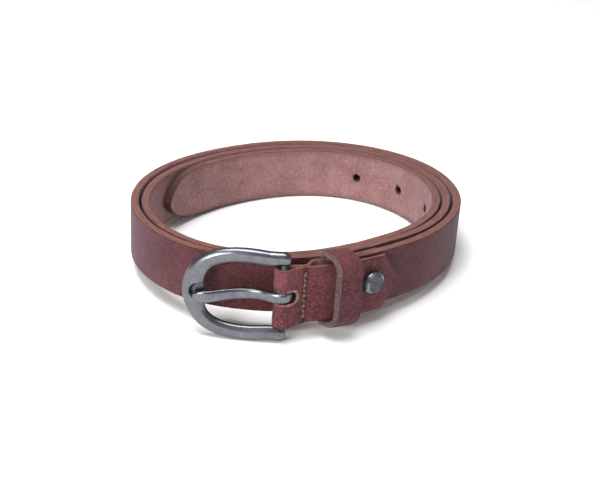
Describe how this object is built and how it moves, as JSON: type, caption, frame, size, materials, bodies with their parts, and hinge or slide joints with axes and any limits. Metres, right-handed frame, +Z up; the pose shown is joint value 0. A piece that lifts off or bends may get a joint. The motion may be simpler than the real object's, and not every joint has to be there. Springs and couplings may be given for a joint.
{
  "type": "leather belt",
  "caption": "Coiled leather belt standing on its edge, with a horseshoe buckle, folded buckle tab, leather keeper, rivet and punched tail.",
  "frame": {"origin": "on the surface the belt stands on, under the middle of its bounding box", "axes": "+Z up along the coil's axis as near as the belt's lean allows, -Y towards the buckle, +X from the buckle towards the keeper"},
  "size_m": [0.1516, 0.1518, 0.0417],
  "materials": {
    "strap_leather": "smooth waxed burgundy grain, raw tan cut edges, suede flesh side",
    "tab_leather": "pebbled burgundy grain, raw tan cut edges",
    "keeper_leather": "pebbled burgundy grain, grey dyed cut edges",
    "thread": "waxed olive-tan twisted thread",
    "rivet_metal": "dark antique plating, satin",
    "pewter": "antique pewter, hand rubbed, darker in the recesses",
    "steel": "plain drawn steel"
  },
  "bodies": {
    "strap": {"strap": "strap_leather", "buckle_tab": "tab_leather", "needle_thread": "thread", "bobbin_thread": "thread", "rivet_cap": "rivet_metal", "rivet_post": "steel"},
    "buckle": {"buckle_frame": "pewter", "buckle_bar": "steel"},
    "prong": {"prong": "pewter"},
    "keeper": {"keeper": "keeper_leather", "keeper_staple": "steel"}
  },
  "joints": [
    {"name": "buckle_swing", "type": "hinge", "parent": "strap", "child": "buckle", "pos_m": [-0.00386, -0.07118, 0.02092], "axis": [0, 0.0693, 0.9976], "range_deg": [0, 60]},
    {"name": "prong_swing", "type": "hinge", "parent": "buckle", "child": "prong", "pos_m": [-0.00386, -0.07118, 0.02092], "axis": [0, 0.0693, 0.9976], "range_deg": [0, 70]},
    {"name": "keeper_slide", "type": "slide", "parent": "strap", "child": "keeper", "axis": [0.913, 0.4069, -0.0283], "range_m": [-0.0022, 0.0034]}
  ]
}
